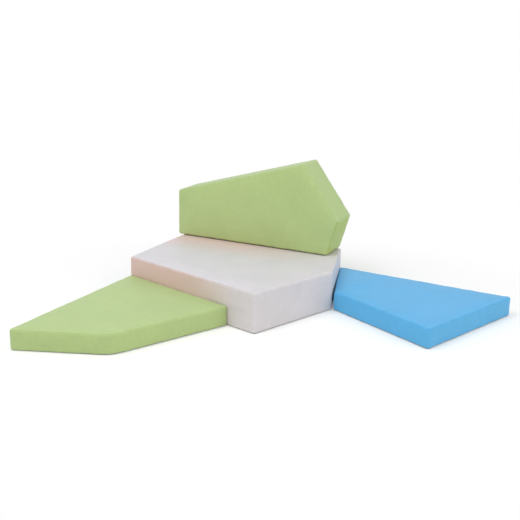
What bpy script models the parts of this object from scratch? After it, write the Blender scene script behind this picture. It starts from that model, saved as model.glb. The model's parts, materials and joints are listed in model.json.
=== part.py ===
import math

import bmesh
import bpy
from mathutils import Matrix, Vector

# A soft play set of four foam cushions in sewn covers: a low five-sided seat, a five-sided back
# that stands on the seat, and two matching four-sided floor mats against the seat's free sides.
# The plan starts at the seat's back left corner, with +X along its back side and +Y to the rear.
# Lengths are in metres and angles in degrees.

# The seat's plan, walked from its back left corner round to its back right corner
seat_height = 0.200
seat_back_side = 0.900
seat_left_side = 0.720
seat_front_left_side = 0.880
seat_right_side = 0.470
seat_back_left_angle = 90
seat_front_left_angle = 106
seat_right_angle = 106

# The back block, whose outline is seen from the front; heights are above its long lower side
back_thickness = 0.200
back_lower_side = 0.910
back_left_height = 0.255
back_peak_across = 0.755
back_peak_height = 0.475
back_shoulder_across = 0.965
back_shoulder_height = 0.190
back_overhang = 0.018

# Both floor mats share one outline: a long side with a pointed tip and a blunter heel
mat_height = 0.100
mat_long_side = 0.950
mat_short_side = 0.460
mat_heel_side = 0.710
mat_tip_angle = 68
mat_heel_angle = 74.5
right_mat_setback = 0.019
right_mat_toe_out = 2.2

# Covers and foam
cover_thickness = 0.0015
edge_radius = 0.010
corner_extra_radius = 0.002
touch_gap = 0.0003
mat_contact_gap = 0.0005
edge_steps = 3
corner_steps = 4
seam_angle = 45

# Hook and loop strips between the seat and the back
strip_length = 0.260
strip_width = 0.050
strip_corner_radius = 0.008
strip_end_inset = 0.100
loop_thickness = 0.0013
hook_thickness = 0.0013

# Zip chain: two tapes, each with half of the coil along its inner edge
zip_end_inset = 0.036
zip_band_margin = 0.010
back_zip_end_inset = 0.080
back_zip_rise = 0.060
tape_width = 0.0152
tape_thickness = 0.0008
coil_width = 0.0030
coil_height = 0.0028
coil_split = 0.0016
slot_side_room = 0.0007
slot_end_room = 0.002

# Zip slider, its bridge and the pull that hangs on it
slider_length = 0.014
slider_wall = 0.0012
slider_clearance = 0.00035
slider_neck = 0.0010
slider_mouth_flare = 0.0006
slider_end_inset = 0.0006
slider_edge = 0.0005
slider_crown = 0.0002
slider_end_steps = 3
slider_mid_flare = 0.6
bridge_length = 0.0076
bridge_width = 0.0024
bridge_bar = 0.0012
bridge_outer_bend = 0.0014
bridge_inner_bend = 0.0005
bridge_bend_steps = 3
bridge_edge = 0.0003
pull_length = 0.032
pull_width = 0.008
pull_tip_width = 0.0095
pull_waist = 0.0011
pull_side_steps = 6
pull_tip_steps = 8
pull_bar_sides = 8
pull_thickness = 0.0012
pull_edge = 0.00025
pull_bar_radius = 0.0008
pull_bar_clearance = 0.0003
pull_bar_lift = 0.0013
pull_eye_clearance = 0.0005
stop_length = 0.004
stop_wall = 0.0008
stop_edge = 0.00025
stop_gap = 0.0005

leatherette_green = (0.53, 0.68, 0.30, 1)
leatherette_grey = (0.72, 0.71, 0.74, 1)
leatherette_blue = (0.18, 0.50, 0.82, 1)
base_cloth_grey = (0.16, 0.17, 0.18, 1)
foam_cream = (0.86, 0.82, 0.66, 1)
tape_grey = (0.35, 0.36, 0.37, 1)
strip_white = (0.75, 0.75, 0.74, 1)
nickel = (0.62, 0.61, 0.58, 1)

corner_radius = edge_radius + corner_extra_radius
core_offset = cover_thickness + touch_gap


def heading(degrees):
    angle = math.radians(degrees)
    return Vector((math.cos(angle), math.sin(angle)))


def turned(point, degrees):
    return Matrix.Rotation(math.radians(degrees), 2) @ Vector(point)


def outward(start, end):
    along = (end - start).normalized()
    return Vector((along.y, -along.x))


def seatCorners():
    backLeft = Vector((0, 0))
    backRight = Vector((seat_back_side, 0))
    left = backLeft + seat_left_side * heading(-seat_back_left_angle)
    front = left + seat_front_left_side * heading(180 - seat_back_left_angle - seat_front_left_angle)
    right = backRight + seat_right_side * heading(180 + seat_right_angle)
    return [backLeft, left, front, right, backRight]


def backCorners():
    return [
        Vector((0, 0)),
        Vector((back_lower_side, 0)),
        Vector((back_shoulder_across, back_shoulder_height)),
        Vector((back_peak_across, back_peak_height)),
        Vector((0, back_left_height)),
    ]


def matCorners():
    tip = Vector((0, 0))
    heel = Vector((0, mat_long_side))
    near = tip + mat_short_side * heading(90 - mat_tip_angle)
    far = heel + mat_heel_side * heading(mat_heel_angle - 90)
    return [tip, near, far, heel]


def arcCentre(corners, index):
    before = corners[index - 1]
    here = corners[index]
    after = corners[(index + 1) % len(corners)]
    first = (before - here).normalized()
    second = (after - here).normalized()
    halfAngle = first.angle(second) / 2
    return here + (first + second).normalized() * corner_radius / math.sin(halfAngle)


def tangentLength(corners, index):
    # How much of each side the corner's arc takes up
    return math.sqrt((arcCentre(corners, index) - corners[index]).length_squared - corner_radius**2)


def cornerStations(corners, index):
    # Each station is an arc centre and a direction; the wall lies corner_radius out from it
    centre = arcCentre(corners, index)
    start = outward(corners[index - 1], corners[index])
    end = outward(corners[index], corners[(index + 1) % len(corners)])
    sweep = math.degrees(start.angle(end))
    return [(centre, turned(start, sweep * step / corner_steps)) for step in range(corner_steps + 1)]


def sideStation(corners, side, distance):
    start = corners[side]
    end = corners[(side + 1) % len(corners)]
    direction = outward(start, end)
    onSide = start + (end - start).normalized() * distance
    return (onSide - direction * corner_radius, direction)


def sideLength(corners, side):
    return (corners[(side + 1) % len(corners)] - corners[side]).length


def wallPoint(station, inset, height):
    centre, direction = station
    across = centre + direction * (corner_radius - inset)
    return Vector((across.x, across.y, height))


def edgePoint(depth, degrees, height):
    # A point on a rounded edge, depth under the cover's face; 0 degrees is the side, 90 the top
    reach = edge_radius - depth
    inset = edge_radius - reach * math.cos(math.radians(degrees))
    rise = reach * math.sin(math.radians(abs(degrees)))
    if degrees < 0:
        return inset, edge_radius - rise
    return inset, height - edge_radius + rise


def between(first, last, steps):
    return [first + (last - first) * step / steps for step in range(steps + 1)]


def seamEdge(depth):
    # Half of the seam's gap, as an angle round the edge's arc
    return math.degrees(touch_gap / 2 / (edge_radius - depth))


def bandSection(height):
    limit = seam_angle - seamEdge(0)
    low = between(-limit, -0.0001, edge_steps)
    high = between(0.0001, limit, edge_steps)
    outer = [edgePoint(0, degrees, height) for degrees in low + high]
    inner = [edgePoint(cover_thickness, degrees, height) for degrees in low + high]
    return outer + inner[::-1]


def panelSection(height, side):
    # The flat panel's turned-down rim, from its inner face out to its outer face
    arc = between(90, seam_angle + seamEdge(0), edge_steps)
    inner = [edgePoint(cover_thickness, side * degrees, height) for degrees in arc]
    outer = [edgePoint(0, side * degrees, height) for degrees in arc[::-1]]
    return inner + outer


def coreSection(height):
    arc = between(90, 0.0001, edge_steps)
    low = [edgePoint(core_offset, -degrees, height) for degrees in arc]
    high = [edgePoint(core_offset, degrees, height) for degrees in arc[::-1]]
    return low + high


def material(name, colour, roughness, metallic=0.0):
    made = bpy.data.materials.new(name)
    made.use_nodes = True
    shader = made.node_tree.nodes["Principled BSDF"]
    shader.inputs["Base Color"].default_value = colour
    shader.inputs["Roughness"].default_value = roughness
    shader.inputs["Metallic"].default_value = metallic
    return made


def finish(name, kind):
    colour, roughness, metallic = finishes[kind]
    return material(name + "_" + kind, colour, roughness, metallic)


finishes = {
    "green_cover": (leatherette_green, 0.45, 0.0),
    "grey_cover": (leatherette_grey, 0.45, 0.0),
    "blue_cover": (leatherette_blue, 0.45, 0.0),
    "base_cloth": (base_cloth_grey, 0.85, 0.0),
    "foam": (foam_cream, 0.95, 0.0),
    "zip_tape": (tape_grey, 0.80, 0.0),
    "strip": (strip_white, 0.90, 0.0),
    "zip_metal": (nickel, 0.30, 1.0),
}


def frameEmpty(name, matrix, parent=None):
    empty = bpy.data.objects.new(name, None)
    bpy.context.collection.objects.link(empty)
    empty.parent = parent
    empty.matrix_local = matrix
    return empty


def addMesh(name, mesh, kind, parent, matrix=None):
    bmesh.ops.recalc_face_normals(mesh, faces=mesh.faces)
    data = bpy.data.meshes.new(name)
    mesh.to_mesh(data)
    mesh.free()
    data.shade_smooth()
    data.set_sharp_from_angle(angle=math.radians(30))
    made = bpy.data.objects.new(name, data)
    bpy.context.collection.objects.link(made)
    made.parent = parent
    made.matrix_local = matrix or Matrix.Identity(4)
    if kind:
        data.materials.append(finish(name, kind))
    return made


def loft(name, rings, kind, parent, matrix=None, closed=False):
    mesh = bmesh.new()
    rows = [[mesh.verts.new(point) for point in ring] for ring in rings]
    pairs = list(zip(rows, rows[1:]))
    if closed:
        pairs.append((rows[-1], rows[0]))
    else:
        mesh.faces.new(rows[0])
        mesh.faces.new(rows[-1])
    for low, high in pairs:
        for index, corner in enumerate(low):
            after = (index + 1) % len(low)
            mesh.faces.new((corner, low[after], high[after], high[index]))
    return addMesh(name, mesh, kind, parent, matrix)


def extrusion(name, outline, low, high, kind, parent, matrix=None):
    rings = [[Vector((point[0], point[1], level)) for point in outline] for level in (low, high)]
    return loft(name, rings, kind, parent, matrix)


def shapedBy(target, tool, operation):
    tool.hide_render = True
    tool.display_type = "WIRE"
    step = target.modifiers.new(tool.name, "BOOLEAN")
    step.operation = operation
    step.solver = "EXACT"
    step.object = tool


def roundedSlot(length, width, radius, steps=3):
    outline = []
    for quarter, (signX, signY) in enumerate(((1, 1), (-1, 1), (-1, -1), (1, -1))):
        centre = Vector((signX * (length / 2 - radius), signY * (width / 2 - radius)))
        for step in range(steps + 1):
            outline.append(centre + radius * heading(90 * (quarter + step / steps)))
    return outline


# Zip frame: x runs along the chain, y across it and z out of the cover, from the cover's face
tape_outer = -cover_thickness - touch_gap
tape_inner = tape_outer - tape_thickness
coil_inner_edge = coil_split / 2
coil_outer_edge = coil_inner_edge + coil_width
coil_top = tape_outer + coil_height
slider_flange = coil_outer_edge + slider_clearance
slider_half_width = slider_flange + slider_wall
slider_top = coil_top + touch_gap + slider_wall
slider_foot = tape_inner - touch_gap - slider_wall
pull_axis_height = slider_top + pull_bar_lift
slot_width = 2 * (slider_half_width + slider_mouth_flare + slot_side_room)


def stringerProfile(side):
    # Tape and half coil as one section across the chain, as (across, out)
    shoulder = coil_width * 0.22
    profile = [
        (coil_inner_edge, tape_inner),
        (coil_inner_edge + tape_width, tape_inner),
        (coil_inner_edge + tape_width, tape_outer),
        (coil_outer_edge, tape_outer),
        (coil_outer_edge, coil_top - shoulder * 2),
        (coil_outer_edge - shoulder, coil_top - shoulder / 2),
        ((coil_inner_edge + coil_outer_edge) / 2, coil_top),
        (coil_inner_edge + shoulder, coil_top - shoulder / 2),
        (coil_inner_edge, coil_top - shoulder * 2),
    ]
    return [(side * across, out) for across, out in profile]


def alongChain(profile, places):
    return [[Vector((place, across, out)) for across, out in profile] for place in places]


def sliderRing(place, halfWidth, flange, drop):
    # Crowned top plate with its flanges, neck and bottom plate; drop rounds the plates off at an end
    top = slider_top - drop
    foot = slider_foot + drop
    shoulder = top - slider_crown
    roof = slider_top - slider_wall
    lip = tape_outer + touch_gap
    half = [
        (halfWidth / 2, top - slider_crown / 4),
        (halfWidth - slider_edge, shoulder),
        (halfWidth - slider_edge / 3, shoulder - slider_edge / 3),
        (halfWidth, shoulder - slider_edge),
        (halfWidth, lip),
        (flange, lip),
        (flange, roof),
        (slider_neck / 2, roof),
        (slider_neck / 2, slider_foot + slider_wall),
        (halfWidth, slider_foot + slider_wall),
        (halfWidth, foot + slider_edge / 2),
        (halfWidth - slider_edge / 2, foot),
    ]
    mirrored = [(-across, out) for across, out in half[::-1]]
    section = [(0, top)] + half + mirrored
    return [Vector((place, across, out)) for across, out in section]


def sliderRings():
    # The plates are straight from the tail to the flare at the mouth, and round at both ends
    tail = -slider_length / 2
    mouth = slider_length / 2
    flare = slider_mouth_flare
    rings = []
    for degrees in between(0, 90, slider_end_steps):
        along, beside = 1 - heading(degrees).x, 1 - heading(degrees).y
        place = tail + slider_end_inset * along
        halfWidth = slider_half_width - slider_end_inset * beside
        rings.append(sliderRing(place, halfWidth, slider_flange, slider_edge * beside))
    rings.append(sliderRing(0, slider_half_width, slider_flange, 0))
    midFlare = flare * slider_mid_flare
    rings.append(sliderRing(mouth / 2, slider_half_width + midFlare, slider_flange + midFlare, 0))
    for degrees in between(90, 0, slider_end_steps):
        along, beside = 1 - heading(degrees).x, 1 - heading(degrees).y
        place = mouth - slider_end_inset * along
        halfWidth = slider_half_width + flare - slider_end_inset * beside
        rings.append(sliderRing(place, halfWidth, slider_flange + flare, slider_edge * beside))
    return rings


def archOutline(inset):
    # Side view of the bridge, a bent bar of even thickness, its skin drawn in by inset
    under = pull_axis_height + pull_bar_radius + pull_bar_clearance
    outer = archLine(bridge_length / 2 - inset, under + bridge_bar - inset, bridge_outer_bend)
    inner = archLine(bridge_length / 2 - bridge_bar + inset, under + inset, bridge_inner_bend)
    return outer + inner[::-1]


def archLine(reach, level, bend):
    # Up one leg, round two bends and down the other; the legs' roots are inside the top plate
    root = slider_top - slider_wall / 2
    half = [(reach, root)]
    for degrees in between(0, 90, bridge_bend_steps):
        turn = heading(degrees) * bend
        half.append((reach - bend + turn.x, level - bend + turn.y))
    return half + [(-along, out) for along, out in half[::-1]]


def buildSlider(name, parent, place):
    slider = loft(name, sliderRings(), "zip_metal", parent, Matrix.Translation((place, 0, 0)))
    rings = []
    for side, inset in softEdges(bridge_width / 2, bridge_edge):
        rings.append([Vector((along, side, out)) for along, out in archOutline(inset)])
    bridge = loft(name + "_bridge", rings, None, slider)
    shapedBy(slider, bridge, "UNION")
    return slider


def softEdges(half, edge):
    # Levels through a plate, each with how far its outline is drawn in there
    return ((-half, edge), (edge - half, 0), (half - edge, 0), (half, edge))


def pullOutline(inset):
    # Plan of the pull from its bar to its round tip, narrow at the waist between them
    tipRadius = pull_tip_width / 2
    tip = pull_length - tipRadius
    edge = []
    for share in between(0, 1, pull_side_steps)[:-1]:
        swell = pull_width / 2 + (tipRadius - pull_width / 2) * share
        edge.append((tip * share, swell - pull_waist * math.sin(math.pi * share) - inset))
    outline = [Vector((along, -half)) for along, half in edge]
    for degrees in between(-90, 90, pull_tip_steps):
        outline.append(Vector((tip, 0)) + heading(degrees) * (tipRadius - inset))
    outline += [Vector((along, half)) for along, half in edge[::-1]]
    return outline


def buildPull(name, slider):
    # The pull's own x runs from its bar to its tip, and its origin is on the bar's axis
    axis = Matrix.Translation((0, 0, pull_axis_height))
    # At rest the pull lies back along the closed chain, away from the stops
    rest = axis @ Matrix.Rotation(math.pi, 4, "Z")
    rings = []
    for level, inset in softEdges(pull_thickness / 2, pull_edge):
        rings.append([Vector((point.x, point.y, level)) for point in pullOutline(inset)])
    pull = loft(name, rings, "zip_metal", slider, rest)
    eyeReach = math.hypot(bridge_length / 2, pull_bar_radius + pull_bar_clearance + bridge_bar)
    eyeLength = eyeReach + pull_eye_clearance
    eyeHalf = bridge_width / 2 + pull_eye_clearance
    eye = [(-pull_width, -eyeHalf), (eyeLength, -eyeHalf), (eyeLength, eyeHalf), (-pull_width, eyeHalf)]
    eyeCutter = extrusion(name + "_eye", eye, -pull_thickness, pull_thickness, None, pull)
    shapedBy(pull, eyeCutter, "DIFFERENCE")
    circle = [heading(degrees) * pull_bar_radius for degrees in between(0, 360, pull_bar_sides)[:-1]]
    ends = [-pull_width / 2, pull_width / 2]
    rings = [[Vector((point.x, end, point.y)) for point in circle] for end in ends]
    bar = loft(name + "_bar", rings, None, pull)
    shapedBy(pull, bar, "UNION")
    return pull


def stopProfile(low, high):
    # A crimp over the coil, from low to high across the chain, as (across, out)
    under = coil_top + touch_gap
    over = under + stop_wall
    foot = tape_outer + touch_gap
    profile = [(low, over - stop_edge), (low + stop_edge, over), (high - stop_edge, over)]
    profile += [(high, over - stop_edge), (high, foot), (high - stop_wall, foot), (high - stop_wall, under)]
    if low < 0:
        profile += [(low + stop_wall, under), (low + stop_wall, foot), (low, foot)]
    else:
        profile += [(low, under)]
    return profile


def buildZip(name, parent, matrix, length):
    frame = frameEmpty(name + "_zip_frame", matrix, parent)
    half = length / 2
    places = (-half, half)
    loft(name + "_zip_tape_upper", alongChain(stringerProfile(1), places), "zip_tape", frame)
    loft(name + "_zip_tape_lower", alongChain(stringerProfile(-1), places), "zip_tape", frame)
    reach = coil_outer_edge + touch_gap + stop_wall
    topStop = (half - stop_length, half)
    upper = stopProfile(coil_inner_edge, reach)
    lower = [(-across, out) for across, out in upper]
    loft(name + "_zip_top_stop_upper", alongChain(upper, topStop), "zip_metal", frame)
    loft(name + "_zip_top_stop_lower", alongChain(lower, topStop), "zip_metal", frame)
    whole = stopProfile(-reach, reach)
    bottomStop = (-half, stop_length - half)
    loft(name + "_zip_bottom_stop", alongChain(whole, bottomStop), "zip_metal", frame)
    closed = half - stop_length - stop_gap - slider_length / 2
    slider = buildSlider(name + "_zip_slider", frame, closed)
    buildPull(name + "_zip_pull", slider)
    return frame


def zipRoom(name, frame, length, wall, core):
    # The slot in the cover and the relief in the foam behind the tapes and the slider
    slot = roundedSlot(length + 2 * slot_end_room, slot_width, slot_width * 0.3)
    through = 2 * cover_thickness
    slotCutter = extrusion(name + "_zip_slot", slot, -through, through, None, frame)
    shapedBy(wall, slotCutter, "DIFFERENCE")
    tapeReach = 2 * (coil_inner_edge + tape_width + touch_gap)
    sliderReach = 2 * (slider_half_width + slider_mouth_flare + touch_gap)
    rooms = (("tape", tapeReach, tape_inner - touch_gap), ("slider", sliderReach, slider_foot - touch_gap))
    for label, width, floor in rooms:
        outline = roundedSlot(length + 2 * slot_end_room, width, touch_gap, 1)
        cutter = extrusion(name + "_zip_" + label + "_room", outline, floor, through, None, frame)
        shapedBy(core, cutter, "DIFFERENCE")


def sideZipFrame(corners, side, distance, rise):
    start = corners[side]
    end = corners[(side + 1) % len(corners)]
    along = (end - start).normalized()
    out = outward(start, end)
    middle = start + along * distance
    frame = Matrix((
        (along.x, 0, out.x, middle.x),
        (along.y, 0, out.y, middle.y),
        (0, 1, 0, rise),
        (0, 0, 0, 1),
    ))
    return frame


def rearZipFrame(middle):
    # On the lower flat panel the chain runs along -X, with +Y across it and -Z out of the cover
    return Matrix(((-1, 0, 0, middle.x), (0, 1, 0, middle.y), (0, 0, -1, 0), (0, 0, 0, 1)))


def planRings(stations, section):
    return [[wallPoint(station, inset, height) for station in stations] for inset, height in section]


def wallRings(stations, section):
    return [[wallPoint(station, inset, height) for inset, height in section] for station in stations]


def buildCushion(name, corners, height, matrix, parent, cover, panels, base):
    # Core, two flat panels and a side band; panels names the upper and the lower flat panel
    frame = frameEmpty(name + "_frame", matrix, parent)
    stations = []
    for index in range(len(corners)):
        stations += cornerStations(corners, index)
    core = loft(name + "_foam_core", planRings(stations, coreSection(height)), "foam", frame)
    upper, lower = panels
    loft(name + "_" + upper, planRings(stations, panelSection(height, 1)), cover, frame)
    lowerPanel = loft(name + "_" + lower, planRings(stations, panelSection(height, -1)), base, frame)
    return frame, core, lowerPanel, stations


def buildFloorCushion(name, corners, height, matrix, parent, cover, zipSide):
    panels = ("top_panel", "base_panel")
    frame, core, _, _ = buildCushion(name, corners, height, matrix, parent, cover, panels, "base_cloth")
    section = bandSection(height)
    bandStart = tangentLength(corners, zipSide) + zip_band_margin
    nextCorner = (zipSide + 1) % len(corners)
    bandEnd = sideLength(corners, zipSide) - tangentLength(corners, nextCorner) - zip_band_margin
    zipBand = loft(
        name + "_zip_band",
        wallRings([sideStation(corners, zipSide, place) for place in (bandStart, bandEnd)], section),
        cover,
        frame,
    )
    stations = [sideStation(corners, zipSide, bandEnd + touch_gap)]
    for step in range(1, len(corners) + 1):
        stations += cornerStations(corners, (zipSide + step) % len(corners))
    stations.append(sideStation(corners, zipSide, bandStart - touch_gap))
    loft(name + "_side_band", wallRings(stations, section), cover, frame)
    zipLength = bandEnd - bandStart - 2 * zip_end_inset
    zipPlace = sideZipFrame(corners, zipSide, (bandStart + bandEnd) / 2, height / 2)
    zipFrame = buildZip(name, frame, zipPlace, zipLength)
    zipRoom(name, zipFrame, zipLength, zipBand, core)
    return frame


def buildBack(matrix, parent):
    name = "back"
    corners = backCorners()
    cover = "green_cover"
    panels = ("front_panel", "rear_panel")
    made = buildCushion(name, corners, back_thickness, matrix, parent, cover, panels, cover)
    frame, core, rearPanel, stations = made
    band = wallRings(stations, bandSection(back_thickness))
    loft(name + "_side_band", band, cover, frame, closed=True)
    zipLength = back_lower_side - 2 * back_zip_end_inset
    middle = Vector((back_lower_side / 2, back_zip_rise))
    zipFrame = buildZip(name, frame, rearZipFrame(middle), zipLength)
    zipRoom(name, zipFrame, zipLength, rearPanel, core)
    return frame


def buildStrips(seatFrame, backFrame):
    # Each loop strip lies on the seat and meets the hook strip under the back, both lengthwise
    outline = roundedSlot(strip_length, strip_width, strip_corner_radius)
    reach = strip_end_inset + strip_length / 2
    downward = Matrix.Rotation(-math.pi / 2, 4, "X")
    for side, across in (("left", reach), ("right", back_lower_side - reach)):
        onSeat = Matrix.Translation((across - back_overhang, -back_thickness / 2, seat_height))
        low, high = touch_gap, touch_gap + loop_thickness
        extrusion("seat_loop_strip_" + side, outline, low, high, "strip", seatFrame, onSeat)
        underBack = Matrix.Translation((across, 0, back_thickness / 2)) @ downward
        low, high = -touch_gap - hook_thickness, -touch_gap
        extrusion("back_hook_strip_" + side, outline, low, high, "strip", backFrame, underBack)


def planMatrix(position, degrees):
    return Matrix.Translation((position.x, position.y, 0)) @ Matrix.Rotation(math.radians(degrees), 4, "Z")


def leftMatMatrix(seat, mat):
    # The heel side lies flat against the seat's front left side, and the heels meet
    left, front = seat[1], seat[2]
    out = outward(left, front)
    seatHeading = math.degrees(math.atan2((front - left).y, (front - left).x))
    degrees = seatHeading - (mat_heel_angle - 90)
    heel = left + out * mat_contact_gap
    return planMatrix(heel - turned(mat[3], degrees), degrees)


def rightMatMatrix(seat, mat):
    # The short side stands toed out a little from the seat's right side, and touches at its tip
    right, backRight = seat[3], seat[4]
    out = outward(right, backRight)
    along = (right - backRight).normalized()
    seatHeading = math.degrees(math.atan2(along.y, along.x))
    degrees = seatHeading + right_mat_toe_out - (90 - mat_tip_angle)
    tip = backRight + along * right_mat_setback
    arc = turned(arcCentre(mat, 0), degrees)
    away = corner_radius + mat_contact_gap - arc.dot(out) - (tip - backRight).dot(out)
    return planMatrix(tip + out * away, degrees)


def centreOnFloor(root):
    bpy.context.view_layer.update()
    depsgraph = bpy.context.evaluated_depsgraph_get()
    points = []
    for item in bpy.context.scene.objects:
        if item.type == "MESH" and not item.hide_render:
            ready = item.evaluated_get(depsgraph)
            points += [ready.matrix_world @ Vector(corner) for corner in ready.bound_box]
    low = Vector([min(point[axis] for point in points) for axis in range(3)])
    high = Vector([max(point[axis] for point in points) for axis in range(3)])
    root.location = (-(low.x + high.x) / 2, -(low.y + high.y) / 2, -low.z)
    bpy.context.view_layer.update()


def build():
    for item in list(bpy.data.objects):
        bpy.data.objects.remove(item)
    root = frameEmpty("set_origin", Matrix.Identity(4))
    seat = seatCorners()
    mat = matCorners()
    upright = Matrix.Rotation(math.pi / 2, 4, "X")
    stripStack = loop_thickness + hook_thickness + 3 * touch_gap
    backPlace = Matrix.Translation((-back_overhang, 0, seat_height + stripStack)) @ upright
    flat = Matrix.Identity(4)
    seatFrame = buildFloorCushion("seat", seat, seat_height, flat, root, "grey_cover", 4)
    backFrame = buildBack(backPlace, root)
    buildStrips(seatFrame, backFrame)
    leftPlace = leftMatMatrix(seat, mat)
    rightPlace = rightMatMatrix(seat, mat)
    buildFloorCushion("left_mat", mat, mat_height, leftPlace, root, "green_cover", 3)
    buildFloorCushion("right_mat", mat, mat_height, rightPlace, root, "blue_cover", 3)
    centreOnFloor(root)


build()
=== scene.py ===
import json
import math

import bmesh
import bpy
import numpy as np
from mathutils import Matrix, Vector
from mathutils.geometry import convex_hull_2d, delaunay_2d_cdt
from mathutils.noise import noise as hills


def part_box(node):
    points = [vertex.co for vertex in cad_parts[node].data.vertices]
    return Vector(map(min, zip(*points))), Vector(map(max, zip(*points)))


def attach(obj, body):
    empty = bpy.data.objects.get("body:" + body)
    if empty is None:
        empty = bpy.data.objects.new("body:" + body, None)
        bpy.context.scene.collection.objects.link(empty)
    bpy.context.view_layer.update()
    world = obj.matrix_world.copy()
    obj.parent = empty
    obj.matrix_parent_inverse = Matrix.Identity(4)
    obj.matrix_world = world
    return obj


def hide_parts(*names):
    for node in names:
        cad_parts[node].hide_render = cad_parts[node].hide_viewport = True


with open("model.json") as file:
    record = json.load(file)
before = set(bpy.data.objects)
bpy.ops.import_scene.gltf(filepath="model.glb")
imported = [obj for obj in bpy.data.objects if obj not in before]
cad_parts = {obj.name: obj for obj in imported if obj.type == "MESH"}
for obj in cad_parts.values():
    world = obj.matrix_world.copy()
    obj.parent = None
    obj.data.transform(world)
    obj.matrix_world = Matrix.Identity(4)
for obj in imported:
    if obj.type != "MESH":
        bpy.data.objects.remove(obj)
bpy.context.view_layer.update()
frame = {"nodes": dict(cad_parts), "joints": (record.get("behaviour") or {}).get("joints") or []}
nodes = frame["nodes"]
joints = {joint["name"]: joint for joint in frame["joints"]}

# Each cushion is cut and sewn in its own frame: z runs through its thickness, from the lower
# panel to the upper one. The back stands on edge, so its thickness runs along the set's -Y.
cushions = {
    "seat": {"leather": "grey", "crown": 0.0075},
    "back": {"leather": "green", "crown": 0.0065, "upper": "front_panel", "lower": "rear_panel"},
    "left_mat": {"leather": "green", "crown": 0.0060, "wideCorner": 0.120},
    "right_mat": {"leather": "blue", "crown": 0.0060},
}
for cushion, spec in cushions.items():
    cushions[cushion] = {"upper": "top_panel", "lower": "base_panel", "onFloor": cushion != "back", **spec}

# Sizes of the sewing, in metres and degrees
sewing = {
    "edgeRadius": 0.012,
    "cornerRadius": 0.015,
    "seamAngle": 45,
    "edgeSteps": 3,
    "cornerSteps": 5,
    "clothStep": 0.0155,
    "floorStep": 0.045,
    "sharpTurn": 40,
    "capMargin": 0.55,
    "mitreLimit": 0.3,
    "clothThickness": 0.0005,
    "foldRadius": 0.0008,
    "foldGap": 0.00008,
    "foldSteps": 4,
    "seamDepth": 0.0032,
    "slotFoldDepth": 0.0014,
    "seamPull": 0.0004,
    "pullReach": 0.006,
    "puckerHeight": 0.0018,
    "puckerReach": 0.030,
    "puckerScale": 26.0,
    "foamInset": 0.0052,
}

# Blender's cloth settings for the covers
clothSettings = {
    "quality": 6,
    "mass": 0.25,
    "tension_stiffness": 40,
    "compression_stiffness": 40,
    "shear_stiffness": 20,
    "bending_stiffness": 0.6,
    "use_pressure": True,
    "uniform_pressure_force": 1.0,
    "shrink_min": -0.004,
    "vertex_group_mass": "held",
}

# How seams, zip and foam hold the covers, and how the cushions press on each other
inflation = {
    "frames": 20,
    "foamHold": 0.45,
    "wallShare": 0.5,
    "seamHold": 0.55,
    "zipFlat": 0.012,
    "zipEase": 0.045,
    "quickReach": 0.05,
    "pressShare": 0.65,
    "pressReach": 0.036,
    "wallSpread": 0.5,
    "topSpread": 0.12,
}

# What the zip's slot in the cover leaves free round the slider, as in the frame
slotRoom = {"beside": 0.0007, "beyond": 0.0020}

# Nearer than this, places in a plan and points of a mesh count as the same
hairline = 1e-6
closeBy = 1e-5


def inTurn(items):
    # Each item with the one after it, and the last with the first
    return zip(items, items[1:] + items[:1])


def rectangle(x0, y0, x1, y1, level):
    return [(x0, y0, level), (x1, y0, level), (x1, y1, level), (x0, y1, level)]


def turned(direction, angle):
    return Matrix.Rotation(angle, 2) @ direction


def smooth(value, low=0.0, high=1.0):
    # Eases from 0 at low to 1 at high
    share = np.clip((value - low) / (high - low), 0.0, 1.0)
    return share * share * (3 - 2 * share)


def localPoints(names, place):
    toLocal = place.inverted()
    return [toLocal @ vertex.co for name in names for vertex in nodes[name].data.vertices]


def extent(names, place):
    points = np.array(localPoints(names, place))
    return Vector(points.min(0)), Vector(points.max(0))


def cushionPlace(name):
    if cushions[name]["onFloor"]:
        return Matrix.Identity(4)
    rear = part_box(name + "_" + cushions[name]["lower"])[1].y
    return Matrix.Translation((0, rear, 0)) @ Matrix.Rotation(math.pi / 2, 4, "X")


def sharpCorners(name, place):
    # The outline's corners, where the lines of its long sides meet
    walls = [node for node in nodes if node in (name + "_side_band", name + "_zip_band")]
    flat = [point.xy for point in localPoints(walls, place)]
    hull = [flat[index] for index in convex_hull_2d(flat)]
    if sum(here.cross(after) for here, after in inTurn(hull)) < 0:
        hull.reverse()
    sides = []
    for here, after in inTurn(hull):
        if (after - here).length > 4 * sewing["cornerRadius"]:
            sides.append((here, (after - here).normalized()))
    corners = []
    for (first, along), (second, onward) in zip(sides[-1:] + sides[:-1], sides):
        reach = (second - first).cross(onward) / along.cross(onward)
        corners.append(first + along * reach)
    return corners


def sideOf(corners, index):
    start = corners[index]
    end = corners[(index + 1) % len(corners)]
    along = (end - start).normalized()
    return start, along, Vector((along.y, -along.x)), (end - start).length


def cornerRadii(name, corners):
    # The corner that turns least may be cut round
    ways = [sideOf(corners, index)[1] for index in range(len(corners))]
    turns = [before.angle(after) for before, after in zip(ways[-1:] + ways, ways)]
    radii = [sewing["cornerRadius"]] * len(corners)
    radii[turns.index(min(turns))] = cushions[name].get("wideCorner", sewing["cornerRadius"])
    return radii


def bendLength(corners, radii, index):
    # How much of a side its corner's arc takes up
    before = sideOf(corners, index - 1)[1]
    after = sideOf(corners, index % len(corners))[1]
    return radii[index % len(corners)] * math.tan(before.angle(after) / 2)


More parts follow.
